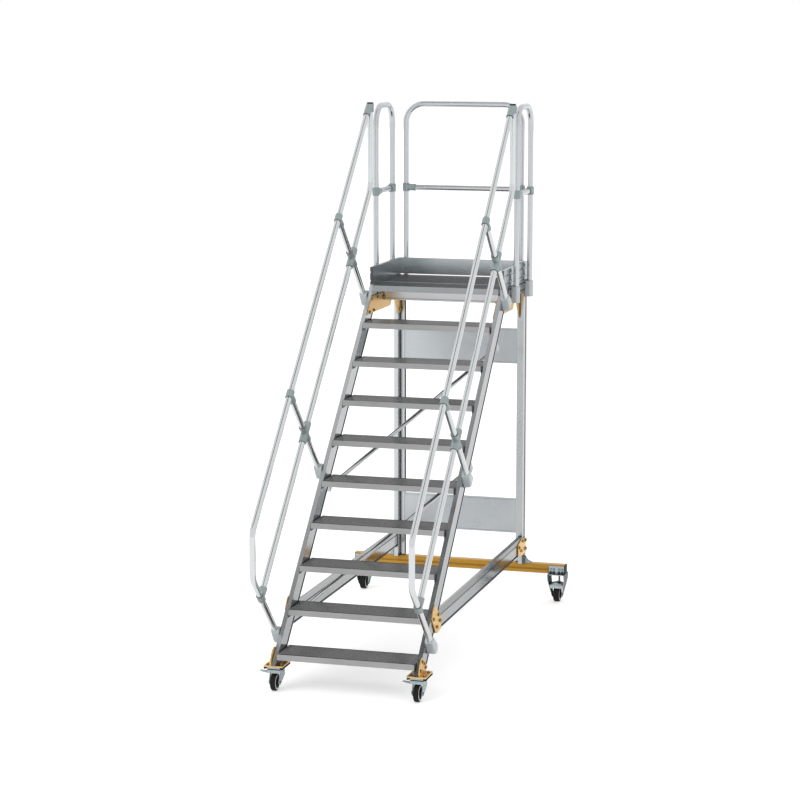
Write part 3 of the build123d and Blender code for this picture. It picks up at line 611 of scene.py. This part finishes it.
# Rubber edges of the pads, black also as painted shade on their side faces, flush with the castor plates: X out from
# the kingpin, Y, Z
EDGE_X, EDGE_Y, EDGE_Z = (48.5, 55.0), (-72.0, 74.0), (124.2, 135.8)
KINGPIN_X, KINGPIN_Y = 416.0, 54.0
for side, sign in (("left", -1), ("right", 1)):
    bm = bmesh.new()
    for way in (-1, 1):
        middle = place(sign * KINGPIN_X + way * sum(EDGE_X) / 2, KINGPIN_Y + sum(EDGE_Y) / 2, sum(EDGE_Z) / 2)
        size = Vector((EDGE_X[1] - EDGE_X[0], EDGE_Y[1] - EDGE_Y[0], EDGE_Z[1] - EDGE_Z[0])) / 1000
        bmesh.ops.create_cube(bm, size=1.0, matrix=Matrix.Translation(middle) @ Matrix.Diagonal((*size, 1.0)))
    bmesh.ops.bevel(bm, geom=list(bm.edges), offset=0.0015, segments=2, profile=0.5, affect="EDGES", material=-1)
    finish_piece(bm, f"pad_edges_{side}", "frame", black_rubber_and_painted_shade)

# Studio: pale floor, white surround, soft lamps, and the camera of the photograph
MIRROR_LIFT = 0.30
CAMERA_LIFT = 0.40
PANEL_LEVEL = 0.03
SKY_LEVEL = 0.62
PHOTO_WIDTH = 800
FOCAL_PIXELS = 2473.275

stage_mesh = bpy.data.meshes.new("studio_floor")
bm = bmesh.new()
bmesh.ops.create_grid(bm, x_segments=1, y_segments=1, size=60)
bm.to_mesh(stage_mesh)
bm.free()
floor = bpy.data.objects.new("studio_floor", stage_mesh)
bpy.context.collection.objects.link(floor)
paper = bpy.data.materials.new("studio_paper")
paper.use_nodes = True
tree = paper.node_tree
paper_shader = tree.nodes["Principled BSDF"]
paper_shader.inputs["Base Color"].default_value = (0.84, 0.84, 0.84, 1)
paper_shader.inputs["Roughness"].default_value = 0.9
paper_shader.inputs["Specular IOR Level"].default_value = 0.0


def seen_rays(tree):
    """1 for rays that the camera sees, also by reflection or through glass."""
    paths = add(tree, "ShaderNodeLightPath").outputs
    mirrored = add(tree, "ShaderNodeMath", {0: paths["Is Glossy Ray"], 1: paths["Is Transmission Ray"]},
                   operation="MAXIMUM").outputs[0]
    either = add(tree, "ShaderNodeMath", {0: mirrored, 1: paths["Is Camera Ray"]}, operation="MAXIMUM").outputs[0]
    return either, paths["Is Camera Ray"]


either, direct = seen_rays(tree)
mirror_lift = add(tree, "ShaderNodeMath", {0: either, 1: MIRROR_LIFT}, operation="MULTIPLY").outputs[0]
camera_lift = add(tree, "ShaderNodeMath", {0: direct, 1: CAMERA_LIFT}, operation="MULTIPLY").outputs[0]
lift = add(tree, "ShaderNodeMath", {0: mirror_lift, 1: camera_lift}, operation="MAXIMUM").outputs[0]
paper_shader.inputs["Emission Color"].default_value = (1, 1, 1, 1)
tree.links.new(lift, paper_shader.inputs["Emission Strength"])
stage_mesh.materials.append(paper)

# Surround: white, with one dark panel overhead that the polished faces mirror
world = bpy.data.worlds.new("studio_surround")
bpy.context.scene.world = world
world.use_nodes = True
tree = world.node_tree
tree.nodes.clear()
direction = add(tree, "ShaderNodeTexCoord").outputs["Generated"]
across = add(tree, "ShaderNodeVectorMath", {0: direction, 1: (-0.7071, 0.7071, 0.0)}, operation="DOT_PRODUCT")
along = add(tree, "ShaderNodeVectorMath", {0: direction, 1: (0.7071, 0.7071, 0.0)}, operation="DOT_PRODUCT")
height = add(tree, "ShaderNodeSeparateXYZ", {"Vector": direction}).outputs["Z"]
# Each row: what is measured, where the panel begins and where it is at its darkest
panel_edges = [(across.outputs["Value"], 0.096, 0.030), (across.outputs["Value"], -0.21, -0.15),
               (along.outputs["Value"], 0.10, -0.10), (along.outputs["Value"], -0.80, -0.60), (height, 0.40, 0.60)]
panel = None
for measured, begin, dark in panel_edges:
    edge = add(tree, "ShaderNodeMapRange", {"Value": measured, "From Min": begin, "From Max": dark}).outputs[0]
    panel = edge if panel is None else both_masks(tree, panel, edge)
hall = add(tree, "ShaderNodeMapRange", {"Value": panel, "To Min": 1.0, "To Max": PANEL_LEVEL}).outputs[0]
seen, direct = seen_rays(tree)
shown = add(tree, "ShaderNodeMath", {0: hall, 1: direct}, operation="MAXIMUM").outputs[0]
soft = add(tree, "ShaderNodeBackground", {"Strength": SKY_LEVEL})
white = add(tree, "ShaderNodeBackground", {"Strength": shown})
for background in (soft, white):
    background.inputs["Color"].default_value = (1, 1, 1, 1)
mixed = add(tree, "ShaderNodeMixShader", {0: seen, 1: soft.outputs[0], 2: white.outputs[0]})
add(tree, "ShaderNodeOutputWorld", {"Surface": mixed.outputs[0]})

# Wide, far lamps: name, where each one stands, strength, spread in degrees
lamps = [("key_lamp", (-5.0, -7.0, 8.0), 1.10, 50.0),
         ("fill_lamp", (8.0, -4.0, 4.5), 0.50, 70.0),
         ("back_lamp", (1.0, 8.0, 7.0), 0.60, 70.0)]
for name, spot, strength, width in lamps:
    lamp = bpy.data.lights.new(name, "SUN")
    lamp.energy = strength
    lamp.angle = math.radians(width)
    holder = bpy.data.objects.new(name, lamp)
    holder.rotation_euler = Vector(spot).to_track_quat("Z", "Y").to_euler()
    holder.visible_glossy = False
    bpy.context.collection.objects.link(holder)

camera = bpy.data.cameras.new("photo_camera")
camera.sensor_width = 36.0
camera.lens = FOCAL_PIXELS * camera.sensor_width / PHOTO_WIDTH
camera.clip_end = 200.0
eye = bpy.data.objects.new("photo_camera", camera)
eye.location = (3.98920, -13.88271, 3.80505)
eye.rotation_euler = (math.pi / 2 - 0.158781, 0.0, 0.281021)
bpy.context.collection.objects.link(eye)
bpy.context.scene.camera = eye
bpy.context.scene.view_settings.view_transform = "Standard"
